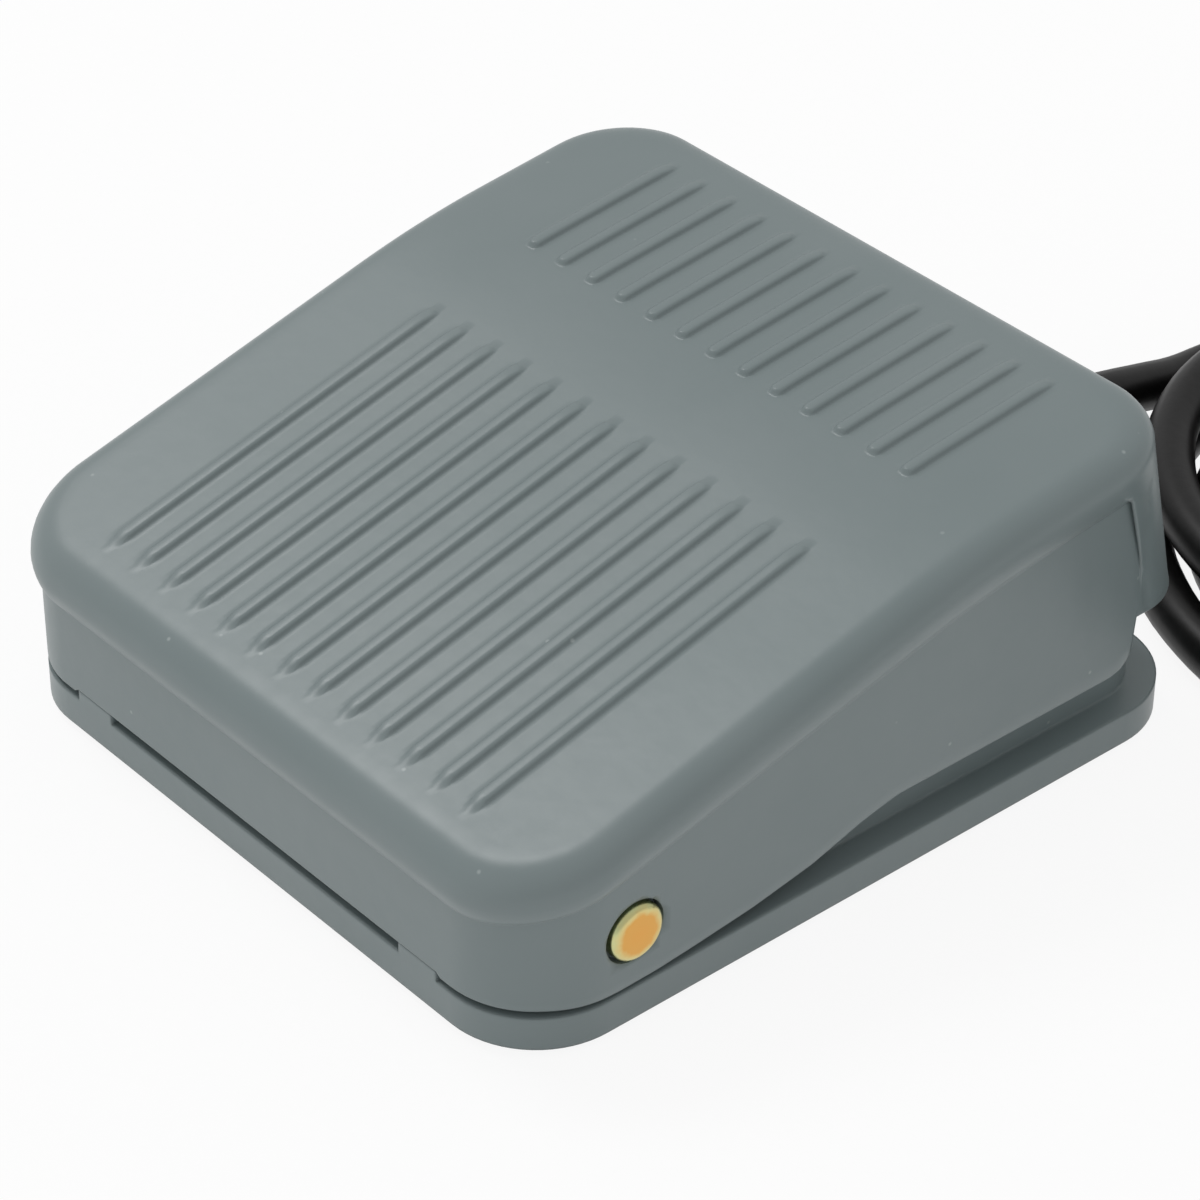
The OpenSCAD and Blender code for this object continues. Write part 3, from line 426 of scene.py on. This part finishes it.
def turned(bm, profile, centre, axis, ring=True):
    """Ring or plug spun from a profile of (radius, place along the axis)."""
    aside = Vector((0, 1, 0)) if axis.x else Vector((1, 0, 0))
    points = [bm.verts.new(Vector(centre) + aside * r + axis * s) for r, s in profile]
    lines = [bm.edges.new(pair) for pair in zip(points, points[1:])]
    if ring:
        lines.append(bm.edges.new((points[-1], points[0])))
    bmesh.ops.spin(bm, geom=points + lines, cent=centre, axis=axis, dvec=(0, 0, 0),
                   angle=math.tau, steps=64, use_merge=True, use_duplicate=False)


pin_half, pin_r, head_r, head_from = 45.05, 2.9, 3.35, 43.5
dome_r, face_r, groove_r, groove = 0.8, 1.5, 2.3, (36.8, 36)
end = [(0, pin_half), (face_r, pin_half - 0.01)]
end += [(head_r - dome_r + dome_r * math.sin(a), pin_half - dome_r + dome_r * math.cos(a))
        for a in [math.radians(d) for d in range(0, 91, 15)]]
end += [(head_r, head_from), (head_r - 0.1, head_from - 0.1), (pin_r, head_from - 0.1)]
end += [(pin_r, groove[0]), (groove_r, groove[0]), (groove_r, groove[1]), (pin_r, groove[1])]
bm = bmesh.new()
turned(bm, end + [(r, -s) for r, s in reversed(end)],
       (0, pin_axis[0] / MM, pin_axis[1] / MM), Vector((1, 0, 0)), ring=False)
bmesh.ops.remove_doubles(bm, verts=bm.verts, dist=0.0005)
bmesh.ops.recalc_face_normals(bm, faces=bm.faces)
bmesh.ops.scale(bm, vec=(MM, MM, MM), verts=bm.verts)
for f in bm.faces:
    f.smooth = True
pin_mesh = bpy.data.meshes.new("turned_hinge_pin")
bm.to_mesh(pin_mesh)
bm.free()
turned_pin = bpy.data.objects.new("turned_hinge_pin", pin_mesh)
scene.collection.objects.link(turned_pin)
pin_mesh.materials.append(passivate)
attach(turned_pin, "base")
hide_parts("hinge_pin")
finish_nodes(steel("passivated_screw", "c79a4c", "d9c27e", 0.32, (700, 700, 1800)),
             "actuator_screw", "lock_nut")
finish_nodes(steel("clip_spring_steel", "7c7e80", "9b9da0", 0.3, (900, 900, 900)), "pin_clips")

# ---- Pedal cover ----
# A zinc die casting in the same enamel: a shell 2 mm thick with a rolled top edge, two
# slopes that meet in a soft crease, low ribs on each, and a skirt round the toe end.
front_edge, toe_edge, top_half, corner_r = -48.5, 42.6, 45.5, 12.2
foot_front, skirt_back, foot_half, foot_r, skirt_r = -47.6, 47.5, 44.3, 11, 8
edge_r, wall_t, skirt_z, rim_z = 3.5, 2, 17.5, 5
crease_y, crease_z, crease_half = 11.3, 37.76, 9
front_rise, rear_rise = math.tan(math.radians(14.8)), math.tan(math.radians(6.7))
side_end, pin_y, pin_z = 37.6, -33.1, 12.3
rib_pitch, rib_h, rib_flat, rib_foot, rib_end, rib_fade = 5, 0.55, 0.6, 1.0, 0.85, 3
rib_rows = [(-41.8, 1.9), (15.6, 36.8)]
notch_half, notch_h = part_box("strain_relief")[1][0] / MM + 2, 3.2
seam, tab_lift, tab_x = 0.85, 0.45, (31.6, 31.2)
under_h, toe_out, toe_tight = 2.2, 1, 1.2


def tread_z(y):
    """Height of the bare tread: two slopes joined by a soft crease."""
    z = crease_z + (y - crease_y) * (front_rise if y < crease_y else rear_rise)
    reach = crease_half - abs(y - crease_y)
    return z - (front_rise - rear_rise) * max(reach, 0) ** 2 / (4 * crease_half)


def rib_z(x, y):
    """Height of the ribs above the tread: round bars whose far ends die away."""
    x -= rib_pitch * min(max(round(x / rib_pitch), -6), 6)
    z = 0
    for y0, y1 in rib_rows:
        away = math.hypot(x, y - min(max(y, y0 + rib_end), y1 - rib_end))
        fade = 1 - 0.5 * eased(y1 - rib_fade, y1, y)
        z = max(z, rib_h * (1 - eased(rib_flat, rib_foot, away)) * fade)
    return z


# Side view of the lower edge: places from front to toe and their height over the ledge
side_view = [(-42.9, 0.85), (-35.1, 0.35), (-30.1, 0.45), (-25.1, 0.85), (-17.1, 1.65), (-9.1, 3),
             (-6, 3.9), (-2, 5.1), (2.9, 6.05), (34.3, 6.05), (35.95, 6.49), (37.16, 7.7),
             (37.6, 9.35), (37.62, 12.5), (60, 12.5)]


def low_edge(x, y):
    """Height of the cover's lower edge: lifted over the stop tabs, the cord and the toe."""
    if y < front_edge + 5.5:
        return rim_z + seam + tab_lift * eased(*tab_x, abs(x))
    if y > side_end + 2 and abs(x) < notch_half:
        return skirt_z + notch_h
    for (y0, z0), (y1, z1) in zip(side_view, side_view[1:]):
        if y <= y1:
            return rim_z + z0 + (z1 - z0) * (y - y0) / (y1 - y0)


def under_roll(fall):
    """Share of the overhang taken back under the roll: a quarter arc, then straight."""
    return 1 - math.sqrt(1 - min(fall / under_h, 1) ** 2)


def spaced(marks, step, fine, close):
    """Places from the first mark to the last, closer together in the fine stretches."""
    places = [marks[0]]
    while places[-1] < marks[1] - 1e-6:
        here = places[-1]
        tight = any(a - 1e-6 <= here < b - 1e-6 for a, b in fine)
        edges = [e for span in fine for e in span if e > here + 1e-6] + [marks[1]]
        places.append(min(here + (close if tight else step), min(edges)))
    return places


# Mesh lines of the tread: across its corners, across the ribs, and along them
corner = [0, 0.13, 0.26, 0.38, 0.47, 0.53, 0.55, 0.57, 0.59, 0.61, 0.63, 0.645, 0.66, 0.7, 0.76,
          0.84, 0.92, 1]
rib_steps = (-1.7, -1.02, -0.9, -0.8, -0.7, -0.35, 0, 0.35, 0.7, 0.8, 0.9, 1.02, 1.7)
mid_half, mid_front, mid_toe = 33.3, -36.3, 30.4
columns = [-mid_half] + [rib_pitch * i + d for i in range(-6, 7) for d in rib_steps] + [mid_half]
rows = spaced((mid_front, mid_toe), 1.2, [(0.4, 2.0), (26.0, 30.4)], 0.4)
rows = sorted([y for y in rows if not 15.2 < y < 17] + [15.3 + 0.15 * k for k in range(9)])
# Mesh lines of the wall: steps of the roll's arc, depths below it, and shares of the rest
levels = [("roll", a) for a in range(1, 9)]
levels += [("fall", d) for d in (0.5, 1, 1.5, 1.9, 2.12, under_h, 2.5, 3)]
levels += [("wall", k / 10) for k in range(1, 10)]
levels += [("foot", 0.12), ("foot", 0.04), ("foot", 0)]


def outline(x, y, half, front, toe, r_front, r_toe):
    """Moves a place on the tread's own outline to the like place on another one."""
    r = r_front if y < 0 else r_toe
    out_x = max(abs(x) - mid_half, 0) / corner_r
    out_y = (max(y - mid_toe, 0) - max(mid_front - y, 0)) / corner_r
    at_y = (min(max(y, mid_front), mid_toe) - mid_front) / (mid_toe - mid_front)
    new_x = min(abs(x), mid_half) / mid_half * (half - r) + out_x * r
    return (math.copysign(new_x, x),
            front + r_front + at_y * (toe - r_toe - front - r_front) + out_y * r)


def tread_place(x, y, radius):
    """Place of a grid point on the tread, with the grid's square corners drawn round."""
    u, w = max(abs(x) - mid_half, 0), max(y - mid_toe, mid_front - y, 0)
    if u or w:
        far = max(u, w)
        swing = (w / u if u >= w else 2 - u / w) * math.pi / 4
        u, w = far * math.cos(swing), far * math.sin(swing)
    return (math.copysign(min(abs(x), mid_half) + u * radius, x),
            min(max(y, mid_front), mid_toe) + (w * radius if y > 0 else -w * radius))


def wall_place(home, inset, kind, k):
    """Place of a point of the roll or the wall below a point of the tread's edge."""
    swing = k * math.pi / 16 if kind == "roll" else math.pi / 2
    roll_r = edge_r - min(inset, edge_r - 1.5)
    spread = math.sin(swing)
    out = corner_r - edge_r + roll_r * spread
    grow = out - corner_r
    x, y = outline(*home, top_half + grow, front_edge - grow, toe_edge + grow + toe_out * spread,
                   out, out - toe_tight * spread)
    z = top = tread_z(y) - inset - roll_r * (1 - math.cos(swing))
    if kind == "roll":
        return x, y, z
    foot_x, foot_y = outline(*home, foot_half - inset, foot_front + inset, skirt_back - inset,
                             foot_r - inset, skirt_r - inset)
    low = low_edge(foot_x, foot_y + (0 if foot_y > 0 else -inset)) + (0.02 if inset else 0)
    z = {"fall": top - k, "wall": top - 3 + (low - top + 3) * k, "foot": low}[kind]
    fall = top - z
    # The undercut is deepest in front and dies out at the skirt, whose walls flare evenly
    under = under_roll(fall) * (1 - 0.4 * eased(-46, -38, foot_y)) * (1 - eased(38, 40, foot_y))
    steady = min(fall / (top - max(low, skirt_z if foot_y > 30 else low)), 1)
    share = under + (1 - under) * steady
    x, y = x + (foot_x - x) * share, y + (foot_y - y) * share
    # A shallow groove runs down the side where the skirt begins
    if abs(x) > 38:
        groove_y, groove_w, groove_d = 37.5 + 0.0175 * (29 - z) ** 2, 0.6, 0.32
        groove = math.exp(-((y - groove_y) / groove_w) ** 2)
        groove *= eased(1.5, 5, fall) * eased(-0.1, 1.5, z - skirt_z)
        x -= math.copysign(groove_d * groove, x)
    # The outer skin's lower edge is eased inwards on the long sides
    if kind == "foot" and inset == 0:
        z = low + k * 3
        x -= math.copysign((0.12 - k) ** 2 * 14, x) * min(abs(home[0]) / mid_half, 1) ** 4
    return x, y, z


def shell(bm, inset):
    """One skin of the cover from the tread to its lower edge; returns its open edges."""
    xs = [-mid_half - (1 - c) for c in corner[:-1]] + columns + [mid_half + c for c in corner[1:]]
    ys = [mid_front - (1 - c) for c in corner[:-1]] + rows + [mid_toe + c for c in corner[1:]]
    made = bmesh.ops.create_grid(bm, x_segments=len(xs) - 1, y_segments=len(ys) - 1, size=1)["verts"]
    rim = {}
    for v in made:
        x = xs[round((v.co.x + 1) / 2 * (len(xs) - 1))]
        y = ys[round((v.co.y + 1) / 2 * (len(ys) - 1))]
        px, py = tread_place(x, y, corner_r - edge_r)
        rise = rib_z(px, py) if inset == 0 else 0
        v.co = (px, py, tread_z(py) - inset + rise)
        if v.is_boundary:
            rim[v] = tread_place(x, y, corner_r)
    edges = [e for e in bm.edges if e.is_boundary and e.verts[0] in rim]
    for kind, k in levels:
        grown = bmesh.ops.extrude_edge_only(bm, edges=edges)["geom"]
        edges = [g for g in grown if isinstance(g, bmesh.types.BMEdge)]
        moved = {}
        for v in [g for g in grown if isinstance(g, bmesh.types.BMVert)]:
            old = next(e.other_vert(v) for e in v.link_edges if e.other_vert(v) in rim)
            moved[v] = rim[old]
            v.co = wall_place(rim[old], inset, kind, k)
        rim = moved
    return edges


cover_mesh = bpy.data.meshes.new("pedal_shell")
bm = bmesh.new()
outer_rim = shell(bm, 0)
inner_rim = shell(bm, wall_t)
bmesh.ops.bridge_loops(bm, edges=outer_rim + inner_rim)
bmesh.ops.recalc_face_normals(bm, faces=bm.faces)
bmesh.ops.scale(bm, vec=(MM, MM, MM), verts=bm.verts)
for f in bm.faces:
    f.smooth = True
bm.to_mesh(cover_mesh)
bm.free()
pedal_shell = bpy.data.objects.new("pedal_shell", cover_mesh)
scene.collection.objects.link(pedal_shell)

# Bores for the pin, and a wider mouth for its head that shows dark round it
bore_r, mouth_r = 2.95, 3.75
cutter_mesh = bpy.data.meshes.new("pin_bores")
bm = bmesh.new()
for side in (-1, 1):
    for r, inner, outer, slack in ((bore_r, 40, 50, 0), (mouth_r, 43.2, 50, 0.2)):
        bore = Vector((side * (inner + outer) / 2, pin_y - slack, pin_z + slack)) * MM
        turn_to = Matrix.Translation(bore) @ Matrix.Rotation(math.pi / 2, 4, "Y")
        bmesh.ops.create_cone(bm, cap_ends=True, segments=64, radius1=r * MM, radius2=r * MM,
                              depth=(outer - inner) * MM, matrix=turn_to)
bm.to_mesh(cutter_mesh)
bm.free()
pin_bores = bpy.data.objects.new("pin_bores", cutter_mesh)
scene.collection.objects.link(pin_bores)
drill = pedal_shell.modifiers.new("pin_bores", "BOOLEAN")
drill.operation = "DIFFERENCE"
drill.object = pin_bores
drill.solver = "EXACT"
drill.use_self = True
bpy.context.view_layer.update()
cut = pedal_shell.evaluated_get(bpy.context.evaluated_depsgraph_get())
drilled = bpy.data.meshes.new_from_object(cut)
pedal_shell.modifiers.clear()
pedal_shell.data = drilled
bpy.data.objects.remove(pin_bores)
drilled.materials.clear()
drilled.materials.append(enamel("baked_enamel_cover", False))
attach(pedal_shell, "pedal")
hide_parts("pedal_cover")

# ---- Bosses under the tread ----
# Cast in one with the cover: two rings round the pin, two seats that hold the springs
# by a peg, and a threaded boss for the adjusting screw. Same enamel.
boss_mesh = bpy.data.meshes.new("pedal_bosses")
bm = bmesh.new()
spring_x, spring_y, push_y, tap_r = 24, 26, 12, 2.02
seat_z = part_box("return_spring_left")[1][2] / MM
nut_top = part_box("lock_nut")[1][2] / MM
ring = [(bore_r, 41.1), (5.1, 41.1), (5.1, 42.6), (bore_r, 42.6)]
seat = [(0, -3.5), (2.2, -3.5), (2.7, -3), (2.7, 0), (5.6, 0), (5.6, 20), (0, 20)]
boss = [(tap_r, 0), (4.5, 0), (4.8, 0.3), (4.8, 25), (tap_r, 25)]
upright = Vector((0, 0, 1))
for side in (-1, 1):
    turned(bm, ring, (0, pin_y, pin_z), Vector((side, 0, 0)))
    turned(bm, seat, (side * spring_x, spring_y, seat_z), upright, ring=False)
turned(bm, boss, (0, push_y, nut_top), upright)
# Their tops end inside the shell, 1 mm below the tread
for v in bm.verts:
    if v.co.z > seat_z + 8 and abs(v.co.x) < 35:
        v.co.z = tread_z(v.co.y) - 1
bmesh.ops.remove_doubles(bm, verts=bm.verts, dist=0.001)
bmesh.ops.recalc_face_normals(bm, faces=bm.faces)
bmesh.ops.scale(bm, vec=(MM, MM, MM), verts=bm.verts)
bm.to_mesh(boss_mesh)
bm.free()
pedal_bosses = bpy.data.objects.new("pedal_bosses", boss_mesh)
scene.collection.objects.link(pedal_bosses)
boss_mesh.materials.append(enamel("baked_enamel_bosses", False))
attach(pedal_bosses, "pedal")
